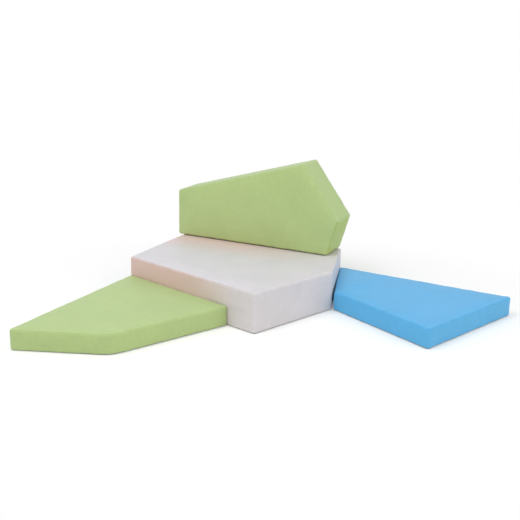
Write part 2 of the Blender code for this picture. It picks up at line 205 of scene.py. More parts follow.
def zipPlace(name):
    # x runs along the chain towards its top stops, y across it and z out of the cover
    along = -Vector(joints[name + "_zip_slide"]["axis"])
    across = Vector(joints[name + "_zip_pull_hinge"]["axis"])
    turn = Matrix((along, across, along.cross(across))).transposed().to_4x4()
    low, high = extent([name + "_zip_tape_upper", name + "_zip_tape_lower"], turn)
    wall = name + ("_zip_band" if cushions[name]["onFloor"] else "_rear_panel")
    face = extent([wall], turn)[1].z
    centre = Vector(((low.x + high.x) / 2, (low.y + high.y) / 2, face))
    return turn @ Matrix.Translation(centre), high.x - low.x


def spread(marks, step):
    # Places from the first mark to the last, each mark kept, no further apart than step
    places = [marks[0]]
    for low, high in zip(marks, marks[1:]):
        count = max(1, math.ceil((high - low) / step - 0.01))
        places += [low + (high - low) * part / count for part in range(1, count + 1)]
    return places


def planColumns(corners, radii, marks):
    # Stations round the outline: arc centre and radius, outward direction, side and distance along it
    columns = []
    for index in range(len(corners)):
        start, along, out, length = sideOf(corners, index)
        before = sideOf(corners, index - 1)[2]
        bend = bendLength(corners, radii, index)
        radius = radii[index]
        centre = start + along * bend - out * radius
        sweep = before.angle(out)
        for step in range(sewing["cornerSteps"]):
            direction = turned(before, sweep * step / sewing["cornerSteps"])
            columns.append((centre, radius, direction, -1, 0.0))
        ends = [bend] + marks.get(index, []) + [length - bendLength(corners, radii, index + 1)]
        for place in spread(ends, sewing["clothStep"])[:-1]:
            columns.append((start + along * place - out * radius, radius, out, index, place))
    return columns


def wallRows(height, marks):
    # Rows up the cushion's edge: inset, level, distance from the nearest seam and panel above it
    radius = sewing["edgeRadius"]
    seam = sewing["seamAngle"]
    rim = [90 - (90 - seam) * step / sewing["edgeSteps"] for step in range(sewing["edgeSteps"])]
    turn = [seam - seam * step / sewing["edgeSteps"] for step in range(sewing["edgeSteps"])]
    lower = []
    for degrees in rim + turn:
        angle = math.radians(degrees)
        panel = "lower" if degrees > seam else "band"
        away = radius * abs(angle - math.radians(seam))
        lower.append((radius - radius * math.cos(angle), radius - radius * math.sin(angle), away, panel))
    quarter = radius * math.radians(seam)
    wall = []
    for level in spread([radius] + marks + [height - radius], sewing["clothStep"]):
        away = quarter + min(level, height - level) - radius
        wall.append((0.0, level, away, "band"))
    upper = []
    for (inset, level, away, _), (_, _, _, below) in zip(lower[::-1], lower[-2::-1] + lower[:1]):
        upper.append((inset, height - level, away, "upper" if below == "lower" else "band"))
    return lower + wall + upper


def insideDistance(corners, point):
    sides = (sideOf(corners, index) for index in range(len(corners)))
    return min(-(point - start).dot(out) for start, _, out, _ in sides)


def capPoints(corners, step):
    # A staggered grid of points inside the rim
    margin = sewing["edgeRadius"] + step * sewing["capMargin"]
    low = Vector((min(corner.x for corner in corners), min(corner.y for corner in corners)))
    high = Vector((max(corner.x for corner in corners), max(corner.y for corner in corners)))
    points = []
    rise = step * math.sqrt(3) / 2
    for row in range(int((high.y - low.y) / rise) + 1):
        shift = step / 2 if row % 2 else 0.0
        for column in range(int((high.x - low.x) / step) + 1):
            point = Vector((low.x + shift + column * step, low.y + row * rise))
            if insideDistance(corners, point) > margin:
                points.append(point)
    return points


def clearOf(rim, point, reach):
    return min((point - other).length_squared for other in rim) > reach * reach


def ringFaces(rings, count, capped=False):
    # Quads between closed rings of points, and the two ends
    last = (rings - 1) * count
    quads = [
        (low + index, low + (index + 1) % count, low + count + (index + 1) % count, low + count + index)
        for low in range(0, last, count)
        for index in range(count)
    ]
    return quads + ([tuple(range(count))[::-1], tuple(range(last, last + count))] if capped else [])


def zipFacts(name, place, corners):
    # Where the zip and its slot lie; on a floor cushion they are in the zip band, on one side
    zipFrame, zipLength = zipPlace(name)
    half = extent([name + "_zip_slider"], zipFrame)[1].y + slotRoom["beside"]
    reach = zipLength / 2 + slotRoom["beyond"]
    facts = {"zipFrame": zipFrame, "zipLength": zipLength, "slotHalf": half, "slotReach": reach}
    facts.update(zipSide=None, band=(0, 0), slot=(0, 0), columnMarks={}, rowMarks=[])
    if cushions[name]["onFloor"]:
        fromZip = place.inverted() @ zipFrame
        out = fromZip.col[2].xy
        side = max(range(len(corners)), key=lambda index: sideOf(corners, index)[2].dot(out))
        start, along, _, _ = sideOf(corners, side)
        ends = [(point.xy - start).dot(along) for point in localPoints([name + "_zip_band"], place)]
        middle = (fromZip.translation.xy - start).dot(along)
        level = fromZip.translation.z
        band, slot = (min(ends), max(ends)), (middle - reach, middle + reach)
        facts.update(zipSide=side, band=band, slot=slot, columnMarks={side: [band[0], *slot, band[1]]})
        facts["rowMarks"] = [level - half, level + half]
    return facts


def within(place, span):
    return span[0] - hairline < place < span[1] - hairline


def addWall(skin, columns, rows):
    # The rounded edge, from the lower panel's rim to the upper panel's
    for inset, level, away, _ in rows:
        for centre, radius, direction, _, _ in columns:
            skin["points"].append(Vector((*(centre + direction * (radius - inset)), level)))
            skin["seamAway"].append(away)
    skin["faces"] = ringFaces(len(rows), len(columns))
    for _, level, _, panel in rows[:-1]:
        for _, _, _, side, distance in columns:
            onZip = panel == "band" and side == skin["zipSide"] and within(distance, skin["band"])
            inSlot = onZip and within(level, skin["rowMarks"]) and within(distance, skin["slot"])
            skin["panels"].append("slot" if inSlot else "zipBand" if onZip else panel)


def addCap(skin, label, first, count, up):
    # A panel's flat part inside its rim of points, round the zip's slot where the slot is in it
    corners, points = skin["corners"], skin["points"]
    onFloor = cushions[skin["name"]]["onFloor"]
    reach, half = skin["slotReach"], skin["slotHalf"]
    fromZip = skin["place"].inverted() @ skin["zipFrame"]
    toZip = skin["zipFrame"].inverted() @ skin["place"]
    step = sewing["floorStep"] if label == "lower" and onFloor else sewing["clothStep"]
    level = points[first].z
    rim = [point.xy for point in points[first : first + count]]
    inner = [point for point in capPoints(corners, step) if clearOf(rim, point, step / 2)]
    hole = []
    if label == "lower" and not onFloor:
        inner, hole = slotInPanel(inner, fromZip, reach, half, step)
    flat = rim + hole + inner
    edges = [(index, (index + 1) % count) for index in range(count)]
    edges += [(count + index, count + (index + 1) % len(hole)) for index in range(len(hole))]
    base = len(points) - count
    edgeToSeam = sewing["edgeRadius"] * (1 - math.radians(sewing["seamAngle"]))
    points += [Vector((*point, level)) for point in hole + inner]
    skin["seamAway"] += [insideDistance(corners, point) - edgeToSeam for point in hole + inner]
    made = delaunay_2d_cdt(flat, edges, [], 1, 1e-7)
    for face in made[2]:
        picked = [made[3][index][0] for index in face]
        middle = sum((flat[index] for index in picked), Vector((0, 0))) / len(picked)
        here, after, third = (flat[index] for index in picked[:3])
        if (after - here).cross(third - here) * up < 0:
            picked.reverse()
        inZip = toZip @ Vector((*middle, level))
        inHole = hole and abs(inZip.x) < reach and abs(inZip.y) < half
        skin["faces"].append(tuple(index + (first if index < count else base) for index in picked))
        skin["panels"].append("slot" if inHole else label)


def cushionSkin(name):
    # One closed skin in the cushion's frame, with each face labelled by its panel
    place = cushionPlace(name)
    corners = sharpCorners(name, place)
    skin = {"name": name, "place": place, "corners": corners, "points": [], "seamAway": [], "panels": []}
    skin.update(zipFacts(name, place, corners))
    low, high = extent([name + "_" + cushions[name][panel] for panel in ("upper", "lower")], place)
    columns = planColumns(corners, cornerRadii(name, corners), skin["columnMarks"])
    rows = wallRows(high.z - low.z, skin["rowMarks"])
    count = len(columns)
    addWall(skin, columns, rows)
    addCap(skin, "lower", 0, count, -1)
    addCap(skin, "upper", (len(rows) - 1) * count, count, 1)
    toZip = skin["zipFrame"].inverted() @ place
    inZip = np.abs(np.array([toZip @ point for point in skin["points"]]))
    past = np.maximum(inZip[:, :2] - (skin["slotReach"], skin["slotHalf"]), 0)
    skin["zipAway"] = np.sqrt(past[:, 0] ** 2 + past[:, 1] ** 2 + inZip[:, 2] ** 2)
    skin["points"] = np.array(skin["points"])
    skin["seamAway"] = np.array(skin["seamAway"])
    skin["seams"] = np.minimum(skin["seamAway"], bandEndDistance(skin))
    return skin


def slotInPanel(inner, fromZip, reach, half, step):
    # The slot's outline on a flat panel, and the panel's points with the ones near it dropped
    toZip = fromZip.inverted()
    kept = []
    for point in inner:
        local = toZip @ Vector((point.x, point.y, 0))
        if abs(local.x) > reach + step / 2 or abs(local.y) > half + step / 2:
            kept.append(point)
    across = spread([-half, half], step)
    along = spread([-reach, reach], step)
    outline = [(place, -half) for place in along[:-1]] + [(reach, place) for place in across[:-1]]
    outline += [(-x, -y) for x, y in outline]
    return kept, [(fromZip @ Vector((x, y, 0))).xy for x, y in outline]


def bandEndDistance(skin):
    # Distance of each point from the upright seams at the zip band's two ends
    if skin["zipSide"] is None:
        return np.full(len(skin["points"]), 1.0)
    start, along, out, _ = sideOf(skin["corners"], skin["zipSide"])
    flat = skin["points"][:, :2] - np.array(start)
    distance = flat @ np.array(along)
    offWall = np.abs(flat @ np.array(out))
    low, high = skin["band"]
    nearest = np.minimum(np.abs(distance - low), np.abs(distance - high))
    return nearest + np.where(offWall < sewing["edgeRadius"] * 0.4, 0, 1)


def skinNormals(skin, points):
    mesh = bpy.data.meshes.new("normals")
    mesh.from_pydata(points.tolist(), [], skin["faces"])
    normals = np.array([vertex.normal for vertex in mesh.vertices])
    bpy.data.meshes.remove(mesh)
    return normals


def heldWeights(skin):
    held = np.where(skin["seams"] < closeBy, inflation["seamHold"], 0.0)
    held[skin["zipAway"] < inflation["zipFlat"]] = 1
    if cushions[skin["name"]]["onFloor"]:
        held[skin["points"][:, 2] < closeBy] = 1
    return held


def linked(name, data):
    thing = bpy.data.objects.new(name, data)
    bpy.context.scene.collection.objects.link(thing)
    return thing


def inflated(covers):
    # Each cover is blown up as cloth, with its seams held back and its zip and underside held flat
    pads = []
    for skin in covers:
        mesh = bpy.data.meshes.new(skin["name"] + "_cloth")
        mesh.from_pydata(skin["points"].tolist(), [], skin["faces"])
        pad = linked(skin["name"] + "_cloth", mesh)
        group = pad.vertex_groups.new(name="held")
        for index, weight in enumerate(heldWeights(skin)):
            if weight:
                group.add([index], weight, "REPLACE")
        cloth = pad.modifiers.new("Cover", "CLOTH")
        for setting, value in clothSettings.items():
            setattr(cloth.settings, setting, value)
        cloth.settings.effector_weights.gravity = 0
        cloth.point_cache.frame_end = inflation["frames"]
        pads.append(pad)
    for step in range(1, inflation["frames"] + 1):
        bpy.context.scene.frame_set(step)
    depsgraph = bpy.context.evaluated_depsgraph_get()
    results = []
    for pad in pads:
        results.append(np.array([vertex.co for vertex in pad.evaluated_get(depsgraph).data.vertices]))
    for pad in pads:
        mesh = pad.data
        bpy.data.objects.remove(pad)
        bpy.data.meshes.remove(mesh)
    bpy.context.scene.frame_set(1)
    return results


def crownOf(skin, normals):
    # How far the cloth may stand off the foam: less on the walls than on the panels
    share = inflation["wallShare"]
    return cushions[skin["name"]]["crown"] * (share + (1 - share) * np.abs(normals[:, 2]))


def puckers(skin):
    # The cloth's slack gathers in low ripples beside the seams
    points = skin["points"] * sewing["puckerScale"]
    shift = list(cushions).index(skin["name"]) * 50
    waves = np.array([hills(Vector(point) + Vector((shift, 0, 0))) for point in points])
    return waves * sewing["puckerHeight"] * np.exp(-((skin["seams"] / sewing["puckerReach"]) ** 2))


def seatWalls():
    # The seat's two walls with a mat beside them: outward direction and distance
    walls = []
    for mat in ("left_mat", "right_mat"):
        out = np.array(joints[mat + "_pull_away"]["axis"])
        seat = np.array(localPoints(["seat_side_band"], Matrix.Identity(4))) @ out
        own = np.array(localPoints([mat + "_side_band"], Matrix.Identity(4))) @ out
        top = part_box(mat + "_top_panel")[1].z
        walls.append((mat, out, seat.max(), own.min(), top))
    return walls


def settle(skin, moved):
    # Holds the cloth to the foam under it, then flattens it where the cushion meets something
    name = skin["name"]
    normals = skinNormals(skin, skin["points"])
    crown = crownOf(skin, normals)
    shift = moved - skin["points"]
    length = np.maximum(np.linalg.norm(shift, axis=1), 1e-9)
    shift *= (crown * np.tanh(length * inflation["foamHold"] / crown) / length)[:, None]
    pull = sewing["seamPull"] * np.exp(-((skin["seams"] / sewing["pullReach"]) ** 2))
    shift += normals * (puckers(skin) - pull)[:, None]
    shift *= smooth((skin["zipAway"] - inflation["zipFlat"]) / inflation["zipEase"])[:, None]
    world = placed(skin["points"] + shift, skin["place"])
    if cushions[name]["onFloor"]:
        rest = skin["points"][:, 2] < closeBy
        world[rest] = skin["points"][rest]
        world[:, 2] = np.maximum(world[:, 2], baseDots["height"])
    for mat, out, seatFace, matFace, top in seatWalls():
        if name == mat:
            # The mat's edges are pressed square against the seat
            away = world @ out - matFace
            share = inflation["pressShare"] * (1 - smooth(away / inflation["pressReach"]))
            world -= np.where(away < 0, away, away * share)[:, None] * out
        if name == "seat":
            spare = np.maximum(world[:, 2] - top, 0) * inflation["wallSpread"]
            world -= np.maximum(world @ out - seatFace - spare, 0)[:, None] * out
    if name == "seat":
        spare = np.maximum(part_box("back_front_panel")[0].y - world[:, 1], 0) * inflation["topSpread"]
        world[:, 2] = np.minimum(world[:, 2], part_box("seat_top_panel")[1].z + spare)
    if name == "back":
        world[:, 2] = np.maximum(world[:, 2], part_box("back_side_band")[0].z)
    return world


def newPiece(name, mesh, body, finish, replaced=None):
    data = bpy.data.meshes.new(name)
    mesh.to_mesh(data)
    mesh.free()
    piece = linked(name, data)
    data.materials.append(materials[finish])
    data.shade_smooth()
    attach(piece, body)
    if replaced:
        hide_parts(replaced)
    return piece


def applied(piece):
    # The piece's mesh as its modifiers make it, with none left on it
    depsgraph = bpy.context.evaluated_depsgraph_get()
    ready = bpy.data.meshes.new_from_object(piece.evaluated_get(depsgraph), depsgraph=depsgraph)
    old = piece.data
    piece.modifiers.clear()
    piece.data = ready
    ready.name = piece.name
    bpy.data.meshes.remove(old)
    return piece


def markSharp(mesh):
    # Keeps the corners of a panel's outline where the seams meet at an angle
    crease = mesh.verts.layers.float.new("crease_vert")
    for vertex in mesh.verts:
        edges = [edge for edge in vertex.link_edges if edge.is_boundary]
        if len(edges) == 2:
            first, second = (edge.other_vert(vertex).co - vertex.co for edge in edges)
            if math.degrees(first.angle(-second)) > sewing["sharpTurn"]:
                vertex[crease] = 1.0


def foldEdges(mesh):
    # Turns a panel's raw edges inwards, as a sewn seam does
    outward = mesh.verts.layers.float_vector["outward"]
    depth = mesh.verts.layers.float["depth"]
    kept = [mesh.verts.layers.float[name] for name in ("seam", "warmth")]
    edges = [edge for edge in mesh.edges if edge.is_boundary]
    away = {}
    for edge in edges:
        face = edge.link_faces[0]
        along = (edge.verts[1].co - edge.verts[0].co).normalized()
        direction = along.cross(face.normal).normalized()
        middle = (edge.verts[0].co + edge.verts[1].co) / 2
        if direction.dot(middle - face.calc_center_median()) < 0:
            direction.negate()
        for vertex in edge.verts:
            away.setdefault(vertex, []).append(direction)
    radius = sewing["foldRadius"]
    gap = sewing["foldGap"]
    turns = np.linspace(0, math.pi / 2, sewing["foldSteps"] + 1)
    arc = [(gap + radius * (1 - math.sin(turn)), radius * (1 - math.cos(turn))) for turn in turns]
    rings = {}
    for vertex, (first, second) in away.items():
        aside = (first + second) / max(1 + first.dot(second), sewing["mitreLimit"])
        inward = -vertex[outward].normalized()
        edgePoint = vertex.co.copy()
        vertex.co = edgePoint - aside * arc[0][0]
        ring = [vertex]
        for back, sink in arc[1:] + [(gap, max(vertex[depth], radius * 1.1))]:
            made = mesh.verts.new(edgePoint - aside * back + inward * sink)
            for layer in kept:
                made[layer] = vertex[layer]
            ring.append(made)
        rings[vertex] = ring
    for edge in edges:
        start, end = edge.verts
        order = [loop.vert for loop in edge.link_faces[0].loops]
        if order[(order.index(start) + 1) % len(order)] == end:
            start, end = end, start
        first, second = rings[start], rings[end]
        for step in range(len(first) - 1):
            mesh.faces.new((first[step], second[step], second[step + 1], first[step + 1]))


def panelPiece(skin, label, word, panel, finish):
    # A panel of the cover: smoothed, its edges turned in, and given the cloth's thickness
    mesh = bmesh.new()
    layers = {key: mesh.verts.layers.float.new(key) for key in ("seam", "warmth", "depth")}
    outward = mesh.verts.layers.float_vector.new("outward")
    made = {}
    for face in [face for face, owner in zip(skin["faces"], skin["panels"]) if owner == label]:
        for index in face:
            if index not in made:
                vertex = mesh.verts.new(skin["world"][index])
                vertex[layers["seam"]] = skin["seams"][index]
                # The share of painted warm light at this point, kept for the material
                vertex[layers["warmth"]] = skin["warmth"][index]
                atSlot = skin["zipAway"][index] < closeBy
                vertex[layers["depth"]] = sewing["slotFoldDepth"] if atSlot else sewing["seamDepth"]
                vertex[outward] = skin["normals"][index]
                made[index] = vertex
        mesh.faces.new([made[index] for index in face])
    markSharp(mesh)
    body = skin["name"]
    piece = newPiece(body + "_" + word + "_cover", mesh, body, finish, body + "_" + panel)
    smoother = piece.modifiers.new("Smooth", "SUBSURF")
    smoother.levels = smoother.render_levels = 1
    smoother.boundary_smooth = "PRESERVE_CORNERS"
    applied(piece)
    mesh = bmesh.new()
    mesh.from_mesh(piece.data)
    mesh.normal_update()
    foldEdges(mesh)
    mesh.to_mesh(piece.data)
    mesh.free()
    sheet = piece.modifiers.new("Sheet", "SOLIDIFY")
    sheet.thickness = sewing["clothThickness"]
    sheet.offset = -1
    sheet.use_even_offset = False
    applied(piece)
    for spent in ("outward", "depth", "crease_vert"):
        piece.data.attributes.remove(piece.data.attributes[spent])


def foamPiece(skin):
    # The core fills its cover, with its skin just clear of the seams and the zip
    name = skin["name"]
    inner = skin["world"] - skin["normals"] * sewing["foamInset"]
    piece = meshPiece(name + "_foam", inner, skin["faces"], name, "foam", name + "_foam_core")


def meshPiece(name, points, faces, body, finish, replaced=None):
    mesh = bmesh.new()
    corners = [mesh.verts.new(point) for point in points]
    for face in faces:
        mesh.faces.new([corners[index] for index in face])
    return newPiece(name, mesh, body, finish, replaced)


def tubes(paths, radii, reference, sides):
    # Points and faces of round threads; each path is a row of points that the reference never runs along
    paths = np.asarray(paths, float)
    tangents = np.gradient(paths, axis=1)
    tangents /= np.linalg.norm(tangents, axis=2, keepdims=True)
    across = np.cross(tangents, reference)
    across /= np.linalg.norm(across, axis=2, keepdims=True)
    up = np.cross(across, tangents)
    angles = np.arange(sides)[:, None] * 2 * math.pi / sides
    wheel = across[:, :, None] * np.cos(angles) + up[:, :, None] * np.sin(angles)
    thickness = np.broadcast_to(radii, paths.shape[:2])[:, :, None, None]
    points = paths[:, :, None] + wheel * thickness
    number = np.arange(points.size // 3).reshape(points.shape[:3])
    beside = np.roll(number, -1, axis=2)
    quads = np.stack((number[:, :-1], number[:, 1:], beside[:, 1:], beside[:, :-1]), axis=-1)
    ends = number[:, 0].tolist() + number[:, -1, ::-1].tolist()
    return points.reshape(-1, 3), quads.reshape(-1, 4).tolist() + ends


def placed(points, matrix):
    turn = np.array(matrix)
    return np.asarray(points) @ turn[:3, :3].T + turn[:3, 3]


# Sewing thread, in metres
thread = {
    "stitch": 0.0034,
    "needleGap": 0.0005,
    "radius": 0.00024,
    "sunk": 0.00035,
    "proud": 0.00016,
    "shoulder": 0.12,
    "shoulderRise": 0.6,
    "sides": 5,
    "taper": (0.55, 0.95, 1.0, 0.95, 0.55),
}


def stitchPaths(outline, out):
    # A closed row of lockstitches, each arched from one needle hole to the next
    paths = []
    for start, end in inTurn(outline):
        start, end = np.array(start, float), np.array(end, float)
        count = max(1, round(np.linalg.norm(end - start) / thread["stitch"]))
        share = thread["needleGap"] / thread["stitch"] / 2
        shoulder = share + thread["shoulder"]
        along = np.array([share, shoulder, 0.5, 1 - shoulder, 1 - share])
        places = (np.arange(count)[:, None] + along) / count
        rise = thread["proud"] * thread["shoulderRise"]
        rise = np.array([-thread["sunk"], rise, thread["proud"]])
        rise = np.concatenate((rise, rise[1::-1]))
        paths.append(start + (end - start) * places[..., None] + np.array(out) * rise[:, None])
    return np.concatenate(paths)


def threadPiece(name, outline, out, body, finish):
    radii = thread["radius"] * np.array(thread["taper"])
    points, faces = tubes(stitchPaths(outline, out), radii, out, thread["sides"])
    meshPiece(name, points, faces, body, finish)


# Zip chain, in metres: tapes behind the cover, with a flattened nylon coil sewn along each
zips = {
    "tapeIn": 0.0004,
    "tapeOut": 0.0160,
    "tapeTop": -0.0018,
    "tapeThickness": 0.0008,
    "tapeRun": 0.006,
    "tapeThinning": 0.22,
    "selvage": 0.0018,
    "ripple": 0.00008,
    "rippleWaves": (310, 173),
    "tapeStep": 0.006,
    "coilTop": 0.0010,
    "coilOuter": 0.0038,
    "headPast": 0.0008,
    "wire": 0.00040,
    "pitch": 0.0017,
    "turnPoints": 8,
    "wireSides": 4,
    "squareness": 2.8,
    "tackGap": 0.0008,
    "stitchMargin": 0.0030,
    "secondMargin": 0.0072,
    "bevel": 0.00014,
    "bevelSteps": 2,
    "bevelAngle": 20,
    "flatAngle": 2,
}


def tapePiece(node, side, zipFrame, length, body):
    # A woven strip with a thicker selvage at its outer edge, which lies behind the cover
    top, under = zips["tapeTop"], zips["tapeTop"] - zips["tapeThickness"]
    thin = zips["tapeThickness"] * zips["tapeThinning"]
    inner, outer = zips["tapeIn"], zips["tapeOut"]
    edge = outer - zips["selvage"]
    step = edge - zips["selvage"] / 2
    flatTop, flatUnder = top - thin, under + thin
    upper = [(inner, flatTop), (step, flatTop), (edge, top), (outer - thin, top), (outer, flatTop)]
    lower = [(outer, flatUnder), (outer - thin, under), (edge, under), (step, flatUnder)]
    profile = [(inner, flatUnder)] + upper + lower
    if side < 0:
        profile = [(-across, level) for across, level in profile[::-1]]
    reach = length / 2 + zips["tapeRun"]
    stations = np.array(spread([-reach, reach], zips["tapeStep"]))
    ripple = zips["ripple"] * sum(np.sin(stations * wave) for wave in zips["rippleWaves"])
    drops = np.abs(ripple)
    flat = np.array([(x, y, level - drop) for x, drop in zip(stations, drops) for y, level in profile])
    faces = ringFaces(len(stations), len(profile), True)
    piece = meshPiece(node + "_cloth", placed(flat, zipFrame), faces, body, "tape", node)
    weave = piece.data.uv_layers.new(name="weave")
    corners = np.array([loop.vertex_index for loop in piece.data.loops])
    weave.data.foreach_set("uv", (flat[corners][:, :2] + flat[corners][:, 2:]).ravel())


def coilPiece(name, side, zipFrame, length, body):
    # One flattened helix; its heads reach past the middle, between those of the other side
    wire = zips["wire"]
    reach = (zips["coilOuter"] + zips["headPast"]) / 2 - wire
    middle = (zips["coilOuter"] - zips["headPast"]) / 2
    rise = (zips["coilTop"] - zips["tapeTop"]) / 2 - wire
    level = (zips["coilTop"] + zips["tapeTop"]) / 2
    turns = int((length - 2 * zips["tackGap"]) / zips["pitch"]) - 1
    steps = np.arange(turns * zips["turnPoints"] + 1) / zips["turnPoints"]
    angle = steps * 2 * math.pi
    power = 2 / zips["squareness"]
    across = middle + reach * np.sign(np.cos(angle)) * np.abs(np.cos(angle)) ** power
    height = level + rise * np.sign(np.sin(angle)) * np.abs(np.sin(angle)) ** power
    lean = np.clip(steps % 1 * 2 - 1, 0, 1)
    start = -turns * zips["pitch"] / 2 + (zips["pitch"] / 2 if side < 0 else 0)
    along = start + (np.floor(steps) + lean) * zips["pitch"]
    path = np.stack((along, across * side, height), axis=1)
    points, faces = tubes(path[None], wire, (1.0, 0.0, 0.0), zips["wireSides"])
    meshPiece(name, placed(points, zipFrame), faces, body, "coil")


def polishedPiece(node, suffix, body):
    # A CAD metal piece with its edges rounded
    mesh = bmesh.new()
    mesh.from_mesh(nodes[node].data)
    flat = math.radians(zips["flatAngle"])
    bmesh.ops.remove_doubles(mesh, verts=mesh.verts, dist=hairline)
    bmesh.ops.dissolve_limit(mesh, angle_limit=flat, verts=mesh.verts, edges=mesh.edges)
    piece = newPiece(node + suffix, mesh, body, "metal", node)
    rounding = piece.modifiers.new("Rounded edges", "BEVEL")
    rounding.width = zips["bevel"]
    rounding.segments = zips["bevelSteps"]
    rounding.limit_method = "ANGLE"
    rounding.angle_limit = math.radians(zips["bevelAngle"])
    rounding.harden_normals = True
    applied(piece)


def addZip(skin):
    name = skin["name"]
    zipFrame, length = skin["zipFrame"], skin["zipLength"]
    for side, word in ((1, "upper"), (-1, "lower")):
        tapePiece(name + "_zip_tape_" + word, side, zipFrame, length, name)
        coilPiece(name + "_zip_coil_" + word, side, zipFrame, length, name)
        polishedPiece(name + "_zip_top_stop_" + word, "_crimp", name)
    polishedPiece(name + "_zip_bottom_stop", "_crimp", name)
    polishedPiece(name + "_zip_slider", "_body", name + "_zip_slider")
    polishedPiece(name + "_zip_pull", "_tab", name + "_zip_pull")
    finish = cushions[name]["leather"] + "Thread"
    out = tuple(zipFrame.to_3x3().col[2])
    for word, margin in (("inner", zips["stitchMargin"]), ("outer", zips["secondMargin"])):
        reach, half = skin["slotReach"] + margin, skin["slotHalf"] + margin
        outline = [tuple(zipFrame @ Vector(corner)) for corner in rectangle(-reach, -half, reach, half, 0)]
        threadPiece(name + "_zip_stitches_" + word, outline, out, name, finish)


# Hook and loop strips, in metres
strips = {
    "baseThickness": 0.00045,
    "edgeSoftness": 0.00018,
    "cornerRadius": 0.008,
    "cornerSteps": 6,
    "selvage": 0.0055,
    "stitchInset": 0.0034,
    "hookPitch": (0.0030, 0.0022),
    "hookRadius": 0.00011,
    "hookTaper": (1.3, 1.1, 1.0, 1.0, 0.9, 0.6),
    "hookBend": ((0, 0), (0, 0.45), (0.12, 0.8), (0.42, 1.0), (0.72, 0.88), (0.8, 0.62)),
    "loops": 1500,
    "loopRadius": 0.00007,
    "loopHalfWidth": (0.0005, 0.0011),
    "loopHeight": (0.6, 1.0),
    "loopLean": 0.0004,
    "sides": 3,
    "seed": 11,
}


def stripOutline(low, high, radius):
    outline = []
    corners = ((high.x, low.y, -90), (high.x, high.y, 0), (low.x, high.y, 90), (low.x, low.y, 180))
    middle = (low + high) / 2
    for x, y, first in corners:
        centreX = x - math.copysign(radius, x - middle.x)
        centreY = y - math.copysign(radius, y - middle.y)
        for step in range(strips["cornerSteps"] + 1):
            angle = math.radians(first + 90 * step / strips["cornerSteps"])
            outline.append((centreX + radius * math.cos(angle), centreY + radius * math.sin(angle)))
    return outline


def stripBase(node, low, high, back, front, body):
    # The strip's woven ground, from its back face to its front one, with softened edges
    up = math.copysign(1, front - back)
    soft = strips["edgeSoftness"]
    full = stripOutline(low, high, strips["cornerRadius"])
    inset = Vector((soft, soft, 0))
    inner = stripOutline(low + inset, high - inset, strips["cornerRadius"] - soft)
    rows = [(full, back), (full, front - up * soft), (inner, front)]
    points = [(x, y, level) for outline, level in rows for x, y in outline]
    faces = ringFaces(len(rows), len(full), True)
    if up < 0:
        faces = [face[::-1] for face in faces]
    meshPiece(node + "_ground", points, faces, body, "nylon", node)


def addHookStrip(node):
    # The hooks hang from the ground under the back, in rows that face left and right by turns
    low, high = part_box(node)
    ground = high.z - strips["baseThickness"]
    stripBase(node, low, high, high.z, ground, "back")
    tall = ground - low.z
    margin = strips["selvage"]
    pitchX, pitchY = strips["hookPitch"]
    rowsX = np.arange(low.x + margin, high.x - margin, pitchX)
    bend = np.array(strips["hookBend"]) * tall
    paths = []
    for row, y in enumerate(np.arange(low.y + margin, high.y - margin, pitchY)):
        turn = 1 if row % 2 else -1
        for x in rowsX + (pitchX / 2 if row % 2 else 0):
            paths.append([(x + turn * out, y, ground - down) for out, down in bend])
    radii = strips["hookRadius"] * np.array(strips["hookTaper"])
    points, faces = tubes(paths, radii, (0.0, 1.0, 0.0), strips["sides"])
    points[:, 2] = np.maximum(points[:, 2], low.z)
    meshPiece(node + "_hooks", points, faces, "back", "nylon")
    stitchStrip(node, low, high, ground, -1, "back")


def addLoopStrip(node):
    # A brushed pile of loops, each leaning its own way
    low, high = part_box(node)
    ground = low.z + strips["baseThickness"]
    stripBase(node, low, high, low.z, ground, "seat")
    tall = high.z - ground - strips["loopRadius"]
    draw = np.random.default_rng(strips["seed"])
    margin = strips["selvage"]
    count = strips["loops"]
    x = draw.uniform(low.x + margin, high.x - margin, count)
    y = draw.uniform(low.y + margin, high.y - margin, count)
    heading = draw.uniform(0, math.pi, count)
    width = draw.uniform(*strips["loopHalfWidth"], count)
    lean = draw.uniform(-strips["loopLean"], strips["loopLean"], count)
    height = draw.uniform(*strips["loopHeight"], count) * tall
    angles = np.linspace(0, math.pi, 6)
    run = -np.cos(angles) * width[:, None]
    rise = np.sin(angles) * height[:, None]
    aside = np.sin(angles) * lean[:, None]
    across = np.cos(heading)[:, None] * run - np.sin(heading)[:, None] * aside + x[:, None]
    along = np.sin(heading)[:, None] * run + np.cos(heading)[:, None] * aside + y[:, None]
    paths = np.stack((across, along, ground + rise), axis=-1)
    beside = np.stack((-np.sin(heading), np.cos(heading), np.zeros(count)), axis=-1)[:, None]
    points, faces = tubes(paths, strips["loopRadius"], beside, strips["sides"])
    points[:, 2] = np.clip(points[:, 2], low.z, high.z)
    meshPiece(node + "_pile", points, faces, "seat", "nylon")
    stitchStrip(node, low, high, ground, 1, "seat")


def stitchStrip(node, low, high, level, up, body):
    inset = strips["stitchInset"]
    outline = rectangle(low.x + inset, low.y + inset, high.x - inset, high.y - inset, level)
    threadPiece(node + "_stitches", outline, (0, 0, up), body, "stripThread")


# Rubber dots printed on the base cloth, in metres
baseDots = {
    "height": 0.0006,
    "sunk": 0.0002,
    "pitch": 0.016,
    "radius": 0.0022,
    "margin": 0.022,
    "taper": (1.0, 0.75),
    "sides": 6,
}


